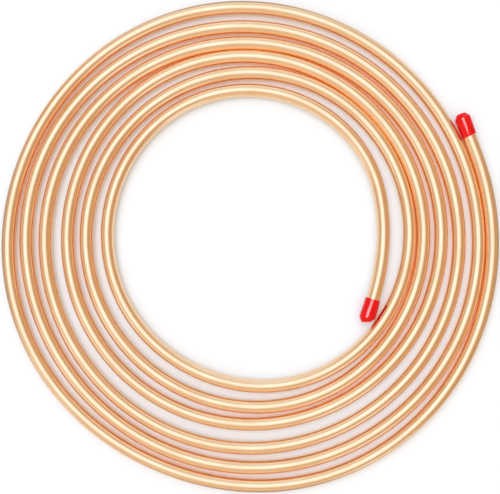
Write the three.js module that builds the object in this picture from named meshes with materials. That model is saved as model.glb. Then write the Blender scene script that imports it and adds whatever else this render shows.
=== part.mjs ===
// A flat coil of soft copper tube: one length of 3/8 inch tube, wound as a single layer of
// open turns that lies on the floor, with a push-on vinyl cap over each end.
// Millimetres, +Z up, floor at z = 0.

import * as THREE from 'three';

// --- Tube -------------------------------------------------------------------------------

const TUBE_DIAMETER = 9.52; // 3/8 inch outside
const TUBE_WALL = 0.81; // 0.032 inch
const TUBE_SIDES = 12; // flats round the outside, one of them on the floor
const BORE_SIDES = 8;

// --- Coil -------------------------------------------------------------------------------

// Control radii of the tube's centre line, from the inner end outwards, on eight spokes.
// The first spoke is at START_ANGLE and each row is one turn, counter-clockwise seen from
// above. The coil was wound by hand and lies loose, so its turns wander.
const SPOKE_RADII = [
  82, 103, 112.5, 114.5, 105.5, 99, 95.5, 103.5,
  110.5, 118.5, 126.5, 125.5, 120.5, 115, 112.5, 117,
  121, 128.5, 135.5, 140, 133.5, 129, 127, 127.5,
  134, 141, 145.5, 149, 150, 145, 144.5, 144.5,
  149, 152, 156.5, 161, 164, 158.5, 157, 160,
  163.5, 165.5, 170, 175.5, 173.5, 175, 167.5, 175.5,
  174.5, 173,
];
const SPOKE_STEP = 45; // degrees
const START_ANGLE = -22.5; // degrees from +X
const END_ANGLE = START_ANGLE + SPOKE_STEP * (SPOKE_RADII.length - 1);
const FACET_ANGLE = 7.5; // degrees of coil to one straight facet

// Each end is straighter than the coil and stands out from it, over its last eighth of a turn.
const FLARE_ANGLE = 45; // degrees
const INNER_FLARE = 14;
const OUTER_FLARE = 3;

// Past the coil each end runs on as a short straight, to its cut face inside the cap.
const INNER_STRAIGHT = 14.2;
const OUTER_STRAIGHT = 27.2;

// The caps are thicker than the tube, so they hold its ends a little off the floor.
const LIFT_ANGLE = 37.5; // degrees over which the tube comes down to the floor

// Middle of the coil's outline, seen from the point where the spokes meet.
const OUTLINE_CENTRE = [0.2, 0.5];

// --- End caps ---------------------------------------------------------------------------

const CAP_LENGTH = 17.2;
const CAP_SHOULDER_DIAMETER = 11.4;
const CAP_RIM_DIAMETER = 10.8; // dip-moulded, so the wall thins towards the rim
const CAP_RIM_ROUNDING = 0.35;
const CAP_NOSE_LENGTH = 3.3; // the closed end narrows over this length
const CAP_NOSE_FLAT = 3.1; // radius of the flat that it narrows to
const CAP_NOSE_CORNER = 0.6; // rounding at both ends of the slope between them
const CAP_CURVE_STEPS = 2; // facets to each rounded corner
const CAP_END_WALL = 1;
const CAP_CLEARANCE = 0.1; // between the tube and its socket
const CAP_GRIP = 13.7; // length of tube inside the cap

// --- Helpers ----------------------------------------------------------------------------

const radians = THREE.MathUtils.degToRad;
const UP = new THREE.Vector3(0, 0, 1);

// Points of a regular polygon with a flat facing each of the four axis directions.
function polygon(cornerRadius, sides) {
  return Array.from({ length: sides }, (_, i) => {
    const angle = ((i + 0.5) * 2 * Math.PI) / sides;
    return new THREE.Vector2(Math.cos(angle), Math.sin(angle)).multiplyScalar(cornerRadius);
  });
}

// Corner radius of a polygon whose flats touch a circle from outside.
function roundTheCircle(radius, sides) {
  return radius / Math.cos(Math.PI / sides);
}

// Corner radius of a polygon with the same area as a circle.
function sameArea(radius, sides) {
  return radius * Math.sqrt((2 * Math.PI) / (sides * Math.sin((2 * Math.PI) / sides)));
}

// --- Route of the tube's centre line ----------------------------------------------------

function spokeRadius(i) {
  const last = SPOKE_RADII.length - 1;
  if (i < 0) return 2 * SPOKE_RADII[0] - SPOKE_RADII[1];
  if (i > last) return 2 * SPOKE_RADII[last] - SPOKE_RADII[last - 1];
  return SPOKE_RADII[i];
}

// 1 at the given end of the coil, falling smoothly to 0 over the given angle.
function nearEnd(angle, endAngle, reach) {
  return Math.max(0, 1 - Math.abs(angle - endAngle) / reach) ** 2;
}

// Distance of the centre line from the middle: a uniform cubic B-spline over the spokes.
function radiusAt(angle) {
  const place = (angle - START_ANGLE) / SPOKE_STEP;
  const i = Math.min(Math.max(Math.floor(place), 0), SPOKE_RADII.length - 2);
  const w = place - i;
  const weights = [
    (1 - w) ** 3,
    3 * w ** 3 - 6 * w ** 2 + 4,
    -3 * w ** 3 + 3 * w ** 2 + 3 * w + 1,
    w ** 3,
  ];
  const spline = weights.reduce((sum, weight, k) => sum + weight * spokeRadius(i - 1 + k), 0) / 6;
  const inner = INNER_FLARE * nearEnd(angle, START_ANGLE, FLARE_ANGLE);
  const outer = OUTER_FLARE * nearEnd(angle, END_ANGLE, FLARE_ANGLE);
  return spline + inner + outer;
}

// Height of the centre line above the floor.
function heightAt(angle) {
  const lift = (CAP_SHOULDER_DIAMETER - TUBE_DIAMETER) / 2;
  const fromEnd = Math.min(angle - START_ANGLE, END_ANGLE - angle) / LIFT_ANGLE;
  const raised = 1 - THREE.MathUtils.smoothstep(fromEnd, 0, 1);
  return TUBE_DIAMETER / 2 + lift * raised;
}

function coilPoint(angle) {
  const radius = radiusAt(angle);
  const turn = radians(angle);
  return new THREE.Vector3(radius * Math.cos(turn), radius * Math.sin(turn), heightAt(angle));
}

// Level direction in which an end of the tube points, away from the coil.
function endDirection(angle, outwards) {
  const tiny = 0.01;
  const before = coilPoint(angle - tiny * outwards).setZ(0);
  return coilPoint(angle).setZ(0).sub(before).normalize();
}

const INNER_END = { angle: START_ANGLE, outwards: -1, straight: INNER_STRAIGHT };
const OUTER_END = { angle: END_ANGLE, outwards: 1, straight: OUTER_STRAIGHT };

// Point on the straight beyond an end of the coil, at a distance from that end.
function straightPoint(end, distance) {
  const direction = endDirection(end.angle, end.outwards);
  return coilPoint(end.angle).addScaledVector(direction, distance);
}

const COIL_FACETS = Math.round((END_ANGLE - START_ANGLE) / FACET_ANGLE);
const ROUTE_FACETS = COIL_FACETS + 2; // with one for the straight at each end

// The whole centre line. Equal steps of its parameter are equal steps of angle round the
// coil, so the facets of neighbouring turns lie side by side and don't cut into each other.
class TubeRoute extends THREE.Curve {
  getUtoTmapping(u) {
    return u;
  }

  getPoint(t, target = new THREE.Vector3()) {
    const facet = t * ROUTE_FACETS - 1;
    if (facet < 0) return target.copy(straightPoint(INNER_END, -facet * INNER_STRAIGHT));
    const beyond = facet - COIL_FACETS;
    if (beyond > 0) return target.copy(straightPoint(OUTER_END, beyond * OUTER_STRAIGHT));
    return target.copy(coilPoint(START_ANGLE + facet * FACET_ANGLE));
  }

  // Keeps the section upright all the way, so that one flat of the tube faces the floor.
  computeFrenetFrames(segments) {
    const tangents = Array.from({ length: segments + 1 }, (_, i) => this.getTangentAt(i / segments));
    const binormals = tangents.map((tangent) => UP.clone().cross(tangent).normalize());
    const normals = binormals.map((binormal, i) => binormal.clone().cross(tangents[i]));
    return { tangents, normals, binormals };
  }
}

// --- Pieces -----------------------------------------------------------------------------

function copperTube() {
  const outside = TUBE_DIAMETER / 2;
  const section = new THREE.Shape(polygon(roundTheCircle(outside, TUBE_SIDES), TUBE_SIDES));
  const bore = polygon(sameArea(outside - TUBE_WALL, BORE_SIDES), BORE_SIDES);
  section.holes.push(new THREE.Path(bore));
  return new THREE.ExtrudeGeometry(section, {
    extrudePath: new TubeRoute(),
    steps: ROUTE_FACETS,
  });
}

// Half section of a cap: x is the distance from its axis, y the distance from its closed end.
function capProfile() {
  const shoulder = CAP_SHOULDER_DIAMETER / 2;
  const rim = CAP_RIM_DIAMETER / 2;
  const socket = TUBE_DIAMETER / 2 + CAP_CLEARANCE;
  const corner = CAP_NOSE_CORNER;
  const slope = new THREE.Vector2(shoulder - CAP_NOSE_FLAT, CAP_NOSE_LENGTH).setLength(corner);

  const half = new THREE.Path();
  half.moveTo(0, 0);
  half.lineTo(CAP_NOSE_FLAT - corner, 0);
  half.quadraticCurveTo(CAP_NOSE_FLAT, 0, CAP_NOSE_FLAT + slope.x, slope.y);
  half.lineTo(shoulder - slope.x, CAP_NOSE_LENGTH - slope.y);
  half.quadraticCurveTo(shoulder, CAP_NOSE_LENGTH, shoulder, CAP_NOSE_LENGTH + corner);
  half.lineTo(rim, CAP_LENGTH - CAP_RIM_ROUNDING);
  half.lineTo(rim - CAP_RIM_ROUNDING, CAP_LENGTH);
  half.lineTo(socket, CAP_LENGTH);
  half.lineTo(socket, CAP_NOSE_LENGTH);
  half.lineTo(CAP_NOSE_FLAT - corner, CAP_END_WALL);
  half.lineTo(0, CAP_END_WALL);
  return half.getPoints(CAP_CURVE_STEPS).map(({ x, y }) => {
    return new THREE.Vector2(roundTheCircle(x, TUBE_SIDES), y);
  });
}

function capGeometry() {
  const halfFlat = Math.PI / TUBE_SIDES;
  return new THREE.LatheGeometry(capProfile(), TUBE_SIDES, halfFlat);
}

// Pushes a cap over an end of the tube, its open side towards the coil.
function fitCap(cap, end) {
  const inwards = endDirection(end.angle, end.outwards).negate();
  const closedEnd = straightPoint(end, end.straight + CAP_LENGTH - CAP_GRIP);
  cap.position.copy(closedEnd);
  cap.quaternion.setFromRotationMatrix(
    new THREE.Matrix4().makeBasis(inwards.clone().cross(UP), inwards, UP),
  );
  return cap;
}

// --- Assembly ---------------------------------------------------------------------------

const copper = new THREE.MeshStandardMaterial({ color: 0xd9935f, roughness: 0.25, metalness: 1 });
const redVinyl = new THREE.MeshStandardMaterial({ color: 0xe0201e, roughness: 0.35, metalness: 0 });

function piece(name, geometry, material) {
  const mesh = new THREE.Mesh(geometry, material);
  mesh.name = name;
  return mesh;
}

const coil = new THREE.Group();
coil.name = 'copper_tube_coil';
coil.add(piece('copper_tube', copperTube(), copper));
coil.add(fitCap(piece('inner_end_cap', capGeometry(), redVinyl), INNER_END));
coil.add(fitCap(piece('outer_end_cap', capGeometry(), redVinyl), OUTER_END));
coil.position.set(-OUTLINE_CENTRE[0], -OUTLINE_CENTRE[1], 0);

export default coil;
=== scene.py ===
"""A coil of soft copper tube with a vinyl cap on each end, lying on a sheet of white paper.

The tube is one drawn and bright-annealed length, swept along its flat hand-wound spiral. The
frame gives the solids; this script gives the round tube, the moulded caps and their finishes.
Everything is in metres, +Z up, floor at z = 0.
"""

import math
from itertools import pairwise

import bpy
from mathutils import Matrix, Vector


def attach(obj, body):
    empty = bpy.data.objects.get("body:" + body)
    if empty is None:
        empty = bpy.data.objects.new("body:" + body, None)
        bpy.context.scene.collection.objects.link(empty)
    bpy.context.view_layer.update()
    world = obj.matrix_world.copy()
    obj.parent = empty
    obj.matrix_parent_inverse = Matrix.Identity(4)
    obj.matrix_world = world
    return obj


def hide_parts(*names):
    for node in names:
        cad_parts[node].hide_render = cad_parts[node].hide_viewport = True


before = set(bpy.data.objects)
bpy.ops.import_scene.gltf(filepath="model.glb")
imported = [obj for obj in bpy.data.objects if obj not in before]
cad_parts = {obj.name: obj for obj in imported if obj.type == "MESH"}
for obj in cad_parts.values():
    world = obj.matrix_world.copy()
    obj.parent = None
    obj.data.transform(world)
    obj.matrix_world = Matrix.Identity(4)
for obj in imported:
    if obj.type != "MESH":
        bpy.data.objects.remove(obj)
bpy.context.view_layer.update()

MM = 0.001

# --- Sizes of the tube and its coil --------------------------------------------------------

TUBE_DIAMETER = 9.52 * MM
TUBE_WALL = 0.81 * MM
TUBE_SIDES = 40  # of the mesh, which is shaded smooth

# Control radii of the tube's centre line in millimetres, from the inner end outwards, on eight
# spokes: one row for each turn, counter-clockwise seen from above.
SPOKE_RADII = [
    82, 103, 112.5, 114.5, 105.5, 99, 95.5, 103.5,
    110.5, 118.5, 126.5, 125.5, 120.5, 115, 112.5, 117,
    121, 128.5, 135.5, 140, 133.5, 129, 127, 127.5,
    134, 141, 145.5, 149, 150, 145, 144.5, 144.5,
    149, 152, 156.5, 161, 164, 158.5, 157, 160,
    163.5, 165.5, 170, 175.5, 173.5, 175, 167.5, 175.5,
    174.5, 173,
]
SPOKE_STEP = 45.0  # degrees
START_ANGLE = -22.5  # degrees from +X
END_ANGLE = START_ANGLE + SPOKE_STEP * (len(SPOKE_RADII) - 1)
RING_ANGLE = 2.0  # degrees of coil between two rings of the mesh

# Each end stands out from the coil by its flare, in millimetres, and then runs on straight.
FLARE_ANGLE = 45.0  # degrees over which it comes away
INNER_FLARE = 14.0
OUTER_FLARE = 3.0
INNER_STRAIGHT = 14.2 * MM
OUTER_STRAIGHT = 27.2 * MM
STRAIGHT_RINGS = 5
LIFT_ANGLE = 37.5  # degrees over which the tube comes down from its cap to the floor

# Middle of the coil's outline, seen from the point where the spokes meet.
OUTLINE_CENTRE = Vector((0.2 * MM, 0.5 * MM, 0.0))

# --- Sizes of the end caps -----------------------------------------------------------------

CAP_LENGTH = 17.2 * MM
CAP_SHOULDER_RADIUS = 5.7 * MM
CAP_RIM_RADIUS = 5.4 * MM  # dip-moulded, so the wall thins towards the rim
CAP_RIM_ROUNDING = 0.35 * MM
CAP_NOSE_LENGTH = 3.3 * MM
CAP_NOSE_FLAT = 3.1 * MM  # radius of the flat that the nose narrows to
CAP_NOSE_CORNER = 0.6 * MM
CAP_END_WALL = 1.0 * MM
CAP_CLEARANCE = 0.1 * MM
CAP_GRIP = 13.7 * MM  # length of tube inside the cap
INNER_NOSE_LEAN = -0.3  # slope of its slanted nose
OUTER_RIM_LEAN = -0.1  # slope of its slanted rim
CAP_SIDES = 64
CORNER_STEPS = 6
RIM_CORNER_STEPS = 4

# --- Finishes ------------------------------------------------------------------------------

NOISE_RANGE = {"From Min": 0.3, "From Max": 0.7}  # most of what the noise gives lies in here
OPENNESS_SAMPLES = 8  # rays that tell how open a spot is to the sky

COPPER_HEX = "#F5D1AC"
TARNISH_HEX = "#EFC8A0"
# Painted light: the copper's colour is painted paler in the grooves between nearly touching turns,
# standing in for light bounced between them.
PAINTED_GROOVE_LIGHT_HEX = "#FFEDCE"
GROOVE_REACH = 4 * MM  # how far off a neighbour still counts for the painted groove light
GROOVE_SHUT = 0.1  # openness to the sky, from 0 to 1, at which the painted groove light is full
GROOVE_OPEN = 0.65  # openness at which the painted groove light is gone
COPPER_ROUGHNESS = 0.22
DRAW_LINE_DULLNESS = 0.04  # how much rougher or smoother a draw line is
PATCH_DULLNESS = (-0.03, 0.04)  # the same for clean metal and for a handled patch
# Sizes along the tube and round it.
DRAW_LINE = (80 * MM, 0.4 * MM)  # drawn coarser than real draw lines, which wouldn't show
TARNISH_PATCH = (26 * MM, 10.5 * MM)  # about a fingertip
DENT = (14 * MM, 17 * MM)  # about one and a half tube diameters
DENT_DEPTH = 0.12 * MM
DRAW_LINE_DEPTH = 0.004 * MM

VINYL_HEX = "#D20508"
THIN_VINYL_HEX = "#DE0C0D"
VINYL_ROUGHNESS = (0.1, 0.2)
VINYL_IOR = 1.53
VINYL_SHINE = 0.2  # specular level: at the usual 0.5 the pale light tent veils the red
# Sizes round the cap and along it.
VINYL_WAVE = (5.5 * MM, 9 * MM)  # about half a cap long
VINYL_SPECK = (0.7 * MM, 0.7 * MM)  # drawn coarser than the real specks, which wouldn't show
VINYL_WAVE_DEPTH = 0.1 * MM

# --- Stage ---------------------------------------------------------------------------------

PAPER_HALF_WIDTH = 183 * MM  # the sheet reaches just past the coil
PAPER_HALF_DEPTH = 181 * MM
PAPER_THICKNESS = 0.3 * MM
GLOW_REACH = 13 * MM  # how far off the tube still paints shade and copper glow onto the paper
PAPER_PAINTED_SHADE_AND_GLOW = (  # openness to the sky, and the paper's colour there: painted shade and painted copper glow
    (0.04, "#FDD69E"),
    (0.27, "#E3F0F5"),
    (0.47, "#DDE5E7"),
    (0.97, "#EBEFEF"),
)
BENCH_HEX = "#AEA69E"
BENCH_RADIUS = 7.0  # metres, as is the rim's height
BENCH_SIDES = 96
RIM_HEIGHT = 1.4
RIM_STEPS = 12

# --- Lights --------------------------------------------------------------------------------

# Directions are an azimuth from +X and a tilt from overhead, in degrees.
TENT = (0.654, 0.49, 0.318)  # light from wherever none of the panels below is
TENT_PANELS = {  # azimuth, tilt, radius where it is full, radius where it is gone, light
    "cool_wall": (85, 87, 15, 60, (0.953, 1.1, 1.19)),
    "warm_wall": (252, 75, 15, 66, (0.921, 0.81, 0.655)),
    "side_wall": (172, 66, 5, 32, (0.67, 0.65, 0.607)),
    "low_lamp": (212, 72, 5, 17, (1.07, 1.25, 1.38)),
    "second_low_lamp": (301, 74, 5, 17, (1.11, 1.35, 1.57)),
    "north_east_panel": (45, 42, 0, 30, (0.69, 0.56, 0.40)),
    "south_west_panel": (222, 42, 0, 26, (0.88, 0.80, 0.70)),
    "ceiling": (135, 12, 8, 43, (1.26, 1.45, 1.66)),
    "ceiling_core": (142, 16, 0, 28, (2.09, 1.68, 1.95)),
}
# Each lamp's azimuth, tilt, spread, strength and colour.
KEY_LAMP = (155, 14, 40, 0.62, (0.89, 1.0, 1.11))
FILL_LAMP = (155, 0, 130, 0.43, (0.89, 1.0, 1.11))
GLINT_LAMP = (148, 14, 36, 6.4, (1.0, 1.0, 1.0))

# --- Camera --------------------------------------------------------------------------------

VIEW_WIDTH = 360.2 * MM  # what the picture's width takes in, at the height of the tube's axis
VIEW_CENTRE = Vector((-0.17 * MM, -0.27 * MM, TUBE_DIAMETER / 2))
CAMERA_DISTANCE = 0.75  # metres above the tube's axis
CAMERA_REACH = 20.0  # far enough to take in the rim
SENSOR_WIDTH = 36.0  # millimetres, as is the lens


# --- Route of the tube's centre line -------------------------------------------------------

def spoke_radius(i):
    """A control radius; past either end of the coil the last step goes on."""
    if i < 0:
        return 2 * SPOKE_RADII[0] - SPOKE_RADII[1]
    if i >= len(SPOKE_RADII):
        return 2 * SPOKE_RADII[-1] - SPOKE_RADII[-2]
    return SPOKE_RADII[i]


def near_end(angle, end_angle, reach):
    """1 at the given end of the coil, falling smoothly to 0 over the given angle."""
    return max(0.0, 1.0 - abs(angle - end_angle) / reach) ** 2


def radius_at(angle):
    """Distance of the centre line from the middle: a uniform cubic B-spline over the spokes."""
    place = (angle - START_ANGLE) / SPOKE_STEP
    i = min(max(math.floor(place), 0), len(SPOKE_RADII) - 2)
    w = place - i
    weights = (
        (1 - w) ** 3,
        3 * w**3 - 6 * w**2 + 4,
        -3 * w**3 + 3 * w**2 + 3 * w + 1,
        w**3,
    )
    spline = sum(weight * spoke_radius(i - 1 + k) for k, weight in enumerate(weights)) / 6
    inner = INNER_FLARE * near_end(angle, START_ANGLE, FLARE_ANGLE)
    outer = OUTER_FLARE * near_end(angle, END_ANGLE, FLARE_ANGLE)
    return (spline + inner + outer) * MM


def height_at(angle):
    """Height of the centre line: the thicker caps hold the ends a little off the floor."""
    lift = CAP_SHOULDER_RADIUS - TUBE_DIAMETER / 2
    from_end = min(angle - START_ANGLE, END_ANGLE - angle) / LIFT_ANGLE
    x = min(max(from_end, 0.0), 1.0)
    return TUBE_DIAMETER / 2 + lift * (1 - x * x * (3 - 2 * x))


def coil_point(angle):
    """Point of the centre line at an angle round the coil."""
    radius, turn = radius_at(angle), math.radians(angle)
    flat = Vector((radius * math.cos(turn), radius * math.sin(turn), height_at(angle)))
    return flat - OUTLINE_CENTRE


def end_direction(angle, outwards):
    """Level direction in which an end of the tube points, away from the coil."""
    tiny = 0.01  # degrees
    step = coil_point(angle) - coil_point(angle - tiny * outwards)
    step.z = 0
    return step.normalized()


def straight_point(angle, outwards, distance):
    """Point on the straight beyond an end of the coil."""
    return coil_point(angle) + end_direction(angle, outwards) * distance


def tube_route():
    """Points of the centre line from cut face to cut face, close enough to look smooth."""
    whole = END_ANGLE - START_ANGLE
    rings = round(whole / RING_ANGLE)
    coil = [coil_point(START_ANGLE + whole * i / rings) for i in range(rings + 1)]
    inner = [
        straight_point(START_ANGLE, -1, INNER_STRAIGHT * i / STRAIGHT_RINGS)
        for i in range(STRAIGHT_RINGS, 0, -1)
    ]
    outer = [
        straight_point(END_ANGLE, 1, OUTER_STRAIGHT * i / STRAIGHT_RINGS)
        for i in range(1, STRAIGHT_RINGS + 1)
    ]
    return inner + coil + outer


# --- Mesh making ---------------------------------------------------------------------------

UP = Vector((0, 0, 1))
SHARP_ANGLE = 40.0  # degrees: an edge that turns by more than this stays crisp
UNROLLED = "surface_metres"  # UV map of a skin unrolled flat, in metres


def make_object(name, points, faces, uvs=None):
    """A mesh object from its points and faces, with one UV pair for each corner of each face."""
    mesh = bpy.data.meshes.new(name)
    mesh.from_pydata(points, [], faces)
    if uvs:
        layer = mesh.uv_layers.new(name=UNROLLED)
        for corner, uv in zip(layer.data, uvs):
            corner.uv = uv
    mesh.validate()
    mesh.shade_smooth()
    mesh.set_sharp_from_angle(angle=math.radians(SHARP_ANGLE))
    obj = bpy.data.objects.new(name, mesh)
    bpy.context.scene.collection.objects.link(obj)
    return obj


def sweep_skin(route, radius, sides, inwards=False):
    """Points, quads and UVs (both in metres) of a round skin along a route, open at its ends."""
    points, faces, uvs = [], [], []
    along = [0.0]
    for a, b in pairwise(route):
        along.append(along[-1] + (b - a).length)
    for i, centre in enumerate(route):
        before, after = route[max(i - 1, 0)], route[min(i + 1, len(route) - 1)]
        tangent = (after - before).normalized()
        side = UP.cross(tangent).normalized()
        rise = tangent.cross(side)
        for k in range(sides):
            turn = 2 * math.pi * k / sides
            points.append(centre + radius * (side * math.cos(turn) + rise * math.sin(turn)))
    girth = 2 * math.pi * radius
    for i in range(len(route) - 1):
        for k in range(sides):
            here, beside = i * sides + k, i * sides + (k + 1) % sides
            face = [here, beside, beside + sides, here + sides]
            v0, v1 = girth * k / sides, girth * (k + 1) / sides
            face_uv = [(along[i], v0), (along[i], v1), (along[i + 1], v1), (along[i + 1], v0)]
            if inwards:
                face.reverse()
                face_uv.reverse()
            faces.append(face)
            uvs.extend(face_uv)
    return points, faces, uvs


def make_copper_tube():
    """The whole length of tube, with its bore and the two cut faces that join them."""
    route = tube_route()
    points, faces, uvs = sweep_skin(route, TUBE_DIAMETER / 2, TUBE_SIDES)
    bore = sweep_skin(route, TUBE_DIAMETER / 2 - TUBE_WALL, TUBE_SIDES, inwards=True)
    offset = len(points)
    points += bore[0]
    faces += [[i + offset for i in face] for face in bore[1]]
    uvs += bore[2]
    last_ring = (len(route) - 1) * TUBE_SIDES
    for start, flip in ((0, False), (last_ring, True)):
        for k in range(TUBE_SIDES):
            here, beside = start + k, start + (k + 1) % TUBE_SIDES
            face = [beside, here, here + offset, beside + offset]
            if flip:
                face.reverse()
            faces.append(face)
            uvs.extend([(0.0, 0.0)] * 4)
    return make_object("copper_tube_drawn", points, faces, uvs)


def rounded(before, corner, after, size, steps=CORNER_STEPS):
    """A corner of a profile, rounded over the given distance on both sides."""
    before, corner, after = Vector(before), Vector(corner), Vector(after)
    first = corner + (before - corner).normalized() * size
    last = corner + (after - corner).normalized() * size
    return [
        tuple(first.lerp(corner, i / steps).lerp(corner.lerp(last, i / steps), i / steps))
        for i in range(steps + 1)
    ]


def cap_profile():
    """Half section of a cap: (distance from the axis, distance from the closed end)."""
    middle, flat = (0.0, 0.0), (CAP_NOSE_FLAT, 0.0)
    shoulder, rim = (CAP_SHOULDER_RADIUS, CAP_NOSE_LENGTH), (CAP_RIM_RADIUS, CAP_LENGTH)
    socket = TUBE_DIAMETER / 2 + CAP_CLEARANCE
    return [
        middle,
        *rounded(middle, flat, shoulder, CAP_NOSE_CORNER),
        *rounded(flat, shoulder, rim, CAP_NOSE_CORNER),
        *rounded(shoulder, rim, (socket, CAP_LENGTH), CAP_RIM_ROUNDING, RIM_CORNER_STEPS),
        (socket, CAP_LENGTH),
        (socket, CAP_NOSE_LENGTH),
        (CAP_NOSE_FLAT - CAP_NOSE_CORNER, CAP_END_WALL),
        (0.0, CAP_END_WALL),
    ]


def lengthwise_shift(y, across, nose_lean, rim_lean):
    """How far a dipped cap's closed end and its rim lean from square, at a place across it."""
    from_nose = max(0.0, 1.0 - y / (2 * CAP_NOSE_LENGTH))
    from_rim = max(0.0, 1.0 - (CAP_LENGTH - y) / (CAP_LENGTH / 2))
    return across * (nose_lean * from_nose + rim_lean * from_rim)


def make_cap(name, angle, outwards, straight, nose_lean, rim_lean):
    """A moulded cap pushed over an end of the tube. Its UVs are metres round and along it."""
    inwards = -end_direction(angle, outwards)
    closed_end = straight_point(angle, outwards, straight + CAP_LENGTH - CAP_GRIP)
    side = UP.cross(inwards)
    rings, points = [], []  # a ring lists its points' numbers, with the first again at its end
    profile = cap_profile()
    for x, y in profile:
        sides = CAP_SIDES if x else 1  # the two poles are single points
        rings.append([len(points) + k % sides for k in range(CAP_SIDES + 1)])
        for k in range(sides):
            turn = 2 * math.pi * k / CAP_SIDES
            across = x * math.cos(turn)
            along = y + lengthwise_shift(y, across, nose_lean, rim_lean)
            points.append(closed_end + inwards * along + side * across + UP * (x * math.sin(turn)))
    faces, uvs = [], []
    for (near, near_y), (far, far_y) in pairwise(zip(rings, (y for _, y in profile))):
        for k in range(CAP_SIDES):
            u0, u1 = (CAP_SHOULDER_RADIUS * 2 * math.pi * j / CAP_SIDES for j in (k, k + 1))
            # Points and their UVs in order. At a pole two corners are one point.
            corners = {near[k]: (u0, near_y), near[k + 1]: (u1, near_y)}
            corners.update({far[k + 1]: (u1, far_y), far[k]: (u0, far_y)})
            faces.append(list(corners))
            uvs.extend(corners.values())
    return make_object(name, points, faces, uvs)


# --- Materials -----------------------------------------------------------------------------

def linear(hex_colour):
    """An sRGB hex colour as Blender's linear RGBA."""
    channels = [int(hex_colour[i : i + 2], 16) / 255 for i in (1, 3, 5)]
    return tuple(
        c / 12.92 if c <= 0.04045 else ((c + 0.055) / 1.055) ** 2.4 for c in channels
    ) + (1.0,)


def add(tree, kind, inputs=None, **settings):
    """Adds a node with its settings. Each input, by name or number, is linked or set."""
    node = tree.nodes.new(kind)
    for name, value in settings.items():
        setattr(node, name, value)
    for socket, value in (inputs or {}).items():
        if isinstance(value, bpy.types.NodeSocket):
            tree.links.new(value, node.inputs[socket])
        else:
            node.inputs[socket].default_value = value
    return node


def new_material(name):
    """An empty material and its node tree."""
    material = bpy.data.materials.new(name)
    material.use_nodes = True
    material.node_tree.nodes.clear()
    return material, material.node_tree


def surface_noise(tree, cell, detail=2.0):
    """Noise over the unrolled skin, in cells of the given width and height."""
    place = add(tree, "ShaderNodeUVMap", uv_map=UNROLLED).outputs["UV"]
    scale = (1 / cell[0], 1 / cell[1], 1)
    stretched = add(tree, "ShaderNodeVectorMath", {0: place, 1: scale}, operation="MULTIPLY")
    noise = add(tree, "ShaderNodeTexNoise", {
        "Vector": stretched.outputs["Vector"],
        "Scale": 1.0,
        "Detail": detail,
    })
    return noise.outputs["Fac"]


def bright_annealed_copper():
    """Drawn copper tube, bright annealed: clean pink-orange metal with a soft polish.

    Fine draw lines run along the tube and blur its reflections a little across. Bending by hand
    has left the wall slightly untrue, so the reflections waver. Handling has left faint patches,
    where the skin is a shade browner and duller. In the grooves between touching turns the colour
    is painted paler, a painted light that stands in for light bounced between the turns.
    """
    material, tree = new_material("bright_annealed_copper")
    draw_lines = surface_noise(tree, DRAW_LINE)
    patches = surface_noise(tree, TARNISH_PATCH, detail=3.0)
    dents = surface_noise(tree, DENT)
    handled = add(tree, "ShaderNodeMapRange", {"Value": patches, **NOISE_RANGE})
    colour = add(tree, "ShaderNodeMix", {
        "Factor": handled.outputs["Result"],
        "A": linear(COPPER_HEX),
        "B": linear(TARNISH_HEX),
    }, data_type="RGBA")
    # Painted light: where little sky reaches the copper, in the grooves between turns, its colour
    # is painted paler.
    openness = add(tree, "ShaderNodeAmbientOcclusion", {
        "Distance": GROOVE_REACH,
    }, samples=OPENNESS_SAMPLES)
    painted_groove_light_fade = add(tree, "ShaderNodeMapRange", {
        "Value": openness.outputs["AO"],
        "From Min": GROOVE_SHUT,
        "From Max": GROOVE_OPEN,
    })
    # The copper's colour with the painted groove light mixed in.
    skin = add(tree, "ShaderNodeMix", {
        "Factor": painted_groove_light_fade.outputs["Result"],
        "A": linear(PAINTED_GROOVE_LIGHT_HEX),
        "B": colour.outputs[2],
    }, data_type="RGBA")
    patch_dullness = add(tree, "ShaderNodeMapRange", {
        "Value": patches,
        **NOISE_RANGE,
        "To Min": PATCH_DULLNESS[0],
        "To Max": PATCH_DULLNESS[1],
    })
    line_roughness = add(tree, "ShaderNodeMapRange", {
        "Value": draw_lines,
        **NOISE_RANGE,
        "To Min": COPPER_ROUGHNESS - DRAW_LINE_DULLNESS,
        "To Max": COPPER_ROUGHNESS + DRAW_LINE_DULLNESS,
    })
    roughness = add(tree, "ShaderNodeMath", {
        0: patch_dullness.outputs["Result"],
        1: line_roughness.outputs["Result"],
    }, operation="ADD")
    wall = add(tree, "ShaderNodeBump", {
        "Height": dents,
        "Strength": 1.0,
        "Distance": DENT_DEPTH,
    })
    lines = add(tree, "ShaderNodeBump", {
        "Height": draw_lines,
        "Strength": 1.0,
        "Distance": DRAW_LINE_DEPTH,
        "Normal": wall.outputs["Normal"],
    })
    shader = add(tree, "ShaderNodeBsdfPrincipled", {
        "Base Color": skin.outputs[2],
        "Metallic": 1.0,
        "Roughness": roughness.outputs[0],
        "Normal": lines.outputs["Normal"],
    })
    add(tree, "ShaderNodeOutputMaterial", {"Surface": shader.outputs[0]})
    return material


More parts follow.
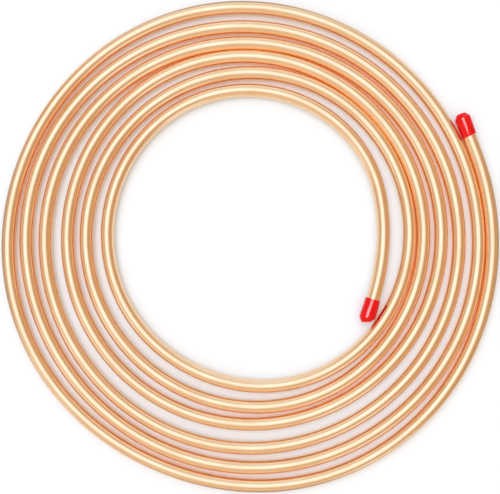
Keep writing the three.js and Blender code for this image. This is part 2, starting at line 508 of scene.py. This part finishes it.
def dipped_red_vinyl():
    """Dip-moulded soft PVC: saturated red, glossy, with a slightly wavy skin.

    Where the dip ran thin the red is a shade lighter. Fine specks blur its one long glint.
    """
    material, tree = new_material("dipped_red_vinyl")
    waves = surface_noise(tree, VINYL_WAVE, detail=1.0)
    specks = surface_noise(tree, VINYL_SPECK)
    thin = add(tree, "ShaderNodeMapRange", {"Value": waves, **NOISE_RANGE})
    colour = add(tree, "ShaderNodeMix", {
        "Factor": thin.outputs["Result"],
        "A": linear(VINYL_HEX),
        "B": linear(THIN_VINYL_HEX),
    }, data_type="RGBA")
    skin = add(tree, "ShaderNodeBump", {
        "Height": waves,
        "Strength": 1.0,
        "Distance": VINYL_WAVE_DEPTH,
    })
    roughness = add(tree, "ShaderNodeMapRange", {
        "Value": specks,
        **NOISE_RANGE,
        "To Min": VINYL_ROUGHNESS[0],
        "To Max": VINYL_ROUGHNESS[1],
    })
    shader = add(tree, "ShaderNodeBsdfPrincipled", {
        "Base Color": colour.outputs[2],
        "Roughness": roughness.outputs["Result"],
        "IOR": VINYL_IOR,
        "Specular IOR Level": VINYL_SHINE,
        "Normal": skin.outputs["Normal"],
    })
    add(tree, "ShaderNodeOutputMaterial", {"Surface": shader.outputs[0]})
    return material


def white_paper():
    """Matt white paper. Between turns and by the tube it is painted darker and copper-orange:
    painted shade and painted copper glow.
    """
    material, tree = new_material("white_paper")
    openness = add(tree, "ShaderNodeAmbientOcclusion", {
        "Distance": GLOW_REACH,
    }, samples=OPENNESS_SAMPLES)
    # Painted shade and painted copper glow: the paper's colour follows how open it is to the sky.
    shade = add(tree, "ShaderNodeValToRGB", {"Fac": openness.outputs["AO"]})
    stops = shade.color_ramp.elements
    while len(stops) < len(PAPER_PAINTED_SHADE_AND_GLOW):
        stops.new(1.0)
    for stop, (place, colour) in zip(stops, PAPER_PAINTED_SHADE_AND_GLOW):
        stop.position = place
        stop.color = linear(colour)
    paper = add(tree, "ShaderNodeBsdfDiffuse", {"Color": shade.outputs["Color"]})
    add(tree, "ShaderNodeOutputMaterial", {"Surface": paper.outputs[0]})
    return material


def grey_laminate():
    """Matt warm grey laminate, which gives the copper something dull to reflect."""
    material, tree = new_material("grey_laminate")
    laminate = add(tree, "ShaderNodeBsdfDiffuse", {"Color": linear(BENCH_HEX)})
    add(tree, "ShaderNodeOutputMaterial", {"Surface": laminate.outputs[0]})
    return material


# --- Making the stage, the lights and the camera -------------------------------------------

def rim_circles():
    """Circles of points from the bench's edge up the rim, which curves from level to upright."""
    circles = []
    for i in range(RIM_STEPS + 1):
        rise = math.pi / 2 * i / RIM_STEPS
        radius = BENCH_RADIUS + RIM_HEIGHT * math.sin(rise)
        height = RIM_HEIGHT * (1 - math.cos(rise)) - PAPER_THICKNESS
        turns = [2 * math.pi * k / BENCH_SIDES for k in range(BENCH_SIDES)]
        circles.append([(radius * math.cos(t), radius * math.sin(t), height) for t in turns])
    return circles


def make_stage():
    """A sheet of paper just larger than the coil, on a bench with a low pale rim far behind it.

    The dull bench darkens the copper's outermost flank, which the paper alone would whiten.
    The rim gives low views a pale background. It takes no part in what the metal reflects.
    """
    paper, laminate = white_paper(), grey_laminate()
    wide, deep = PAPER_HALF_WIDTH, PAPER_HALF_DEPTH
    corners = [(wide, deep, 0.0), (-wide, deep, 0.0), (-wide, -deep, 0.0), (wide, -deep, 0.0)]
    sheet = make_object("floor", corners, [[0, 1, 2, 3]])
    circles = rim_circles()
    bench = make_object("bench", circles[0], [list(range(BENCH_SIDES))])
    faces = []
    for i in range(RIM_STEPS):
        for k in range(BENCH_SIDES):
            here, beside = i * BENCH_SIDES + k, i * BENCH_SIDES + (k + 1) % BENCH_SIDES
            faces.append([here, here + BENCH_SIDES, beside + BENCH_SIDES, beside])
    rim = make_object("paper_rim", [point for circle in circles for point in circle], faces)
    rim.visible_glossy = False
    rim.visible_diffuse = False
    for obj, material in ((sheet, paper), (bench, laminate), (rim, paper)):
        obj.data.materials.append(material)


def light_the_studio():
    """A light tent: soft round panels over the coil, each fading into what lies behind it."""
    world = bpy.data.worlds.new("light_tent")
    bpy.context.scene.world = world
    world.use_nodes = True
    tree = world.node_tree
    tree.nodes.clear()
    direction = add(tree, "ShaderNodeTexCoord").outputs["Generated"]
    light = add(tree, "ShaderNodeRGB").outputs[0]
    light.default_value = (*TENT, 1.0)
    for azimuth, tilt, inside, outside, colour in TENT_PANELS.values():
        turn, lean = math.radians(azimuth), math.radians(tilt)
        middle = (math.sin(lean) * math.cos(turn), math.sin(lean) * math.sin(turn), math.cos(lean))
        near = add(tree, "ShaderNodeVectorMath", {0: direction, 1: middle}, operation="DOT_PRODUCT")
        share = add(tree, "ShaderNodeMapRange", {
            "Value": near.outputs["Value"],
            "From Min": math.cos(math.radians(outside)),
            "From Max": math.cos(math.radians(inside)),
        }, interpolation_type="SMOOTHSTEP")
        mixed = add(tree, "ShaderNodeMix", {
            "Factor": share.outputs["Result"],
            "A": light,
            "B": (*colour, 1.0),
        }, data_type="RGBA")
        light = mixed.outputs[2]
    room = add(tree, "ShaderNodeBackground", {"Color": light})
    add(tree, "ShaderNodeOutputWorld", {"Surface": room.outputs[0]})


def add_sun(name, azimuth, tilt, spread, strength, colour):
    """A soft lamp far off, as wide as its spread."""
    lamp = bpy.data.lights.new(name, "SUN")
    lamp.energy = strength
    lamp.angle = math.radians(spread)
    lamp.color = colour
    obj = bpy.data.objects.new(name, lamp)
    bpy.context.scene.collection.objects.link(obj)
    obj.rotation_euler = (0.0, math.radians(tilt), math.radians(azimuth))
    return obj


def add_lamps(end_caps):
    """Two soft lamps overhead, which shade the floor and stay out of the metal.

    A third lights the caps alone: it is the one bright lamp that their glossy skin shows.
    """
    add_sun("key_lamp", *KEY_LAMP).visible_glossy = False
    add_sun("fill_lamp", *FILL_LAMP).visible_glossy = False
    glint = add_sun("glint_lamp", *GLINT_LAMP)
    glint.visible_diffuse = False
    vinyl_pieces = bpy.data.collections.new("vinyl_pieces")
    for end_cap in end_caps:
        vinyl_pieces.objects.link(end_cap)
    glint.light_linking.receiver_collection = vinyl_pieces


def set_light_paths():
    """Light is passed on many times between turns that nearly touch.

    Reflections aren't blurred in the light that the copper throws on the paper.
    """
    cycles = bpy.context.scene.cycles
    cycles.max_bounces = 32
    cycles.glossy_bounces = 24
    cycles.diffuse_bounces = 12
    cycles.blur_glossy = 0.0


def set_camera():
    """Straight above the coil, looking down."""
    camera = bpy.data.cameras.new("camera")
    camera.sensor_width = SENSOR_WIDTH
    camera.lens = SENSOR_WIDTH * CAMERA_DISTANCE / VIEW_WIDTH
    camera.clip_end = CAMERA_REACH
    obj = bpy.data.objects.new("camera", camera)
    bpy.context.scene.collection.objects.link(obj)
    obj.location = VIEW_CENTRE + Vector((0, 0, CAMERA_DISTANCE))
    bpy.context.scene.camera = obj


# --- Assembly ------------------------------------------------------------------------------

copper = bright_annealed_copper()
vinyl = dipped_red_vinyl()

tube = make_copper_tube()
tube.data.materials.append(copper)
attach(tube, "root")
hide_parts("copper_tube")

caps = []
for cap_name, node, cap_fit in (
    ("inner_cap_moulded", "inner_end_cap", (START_ANGLE, -1, INNER_STRAIGHT, INNER_NOSE_LEAN, 0.0)),
    ("outer_cap_moulded", "outer_end_cap", (END_ANGLE, 1, OUTER_STRAIGHT, 0.0, OUTER_RIM_LEAN)),
):
    cap = make_cap(cap_name, *cap_fit)
    cap.data.materials.append(vinyl)
    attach(cap, "root")
    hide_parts(node)
    caps.append(cap)

make_stage()
light_the_studio()
add_lamps(caps)
set_light_paths()
set_camera()
bpy.context.scene.view_settings.view_transform = "Standard"
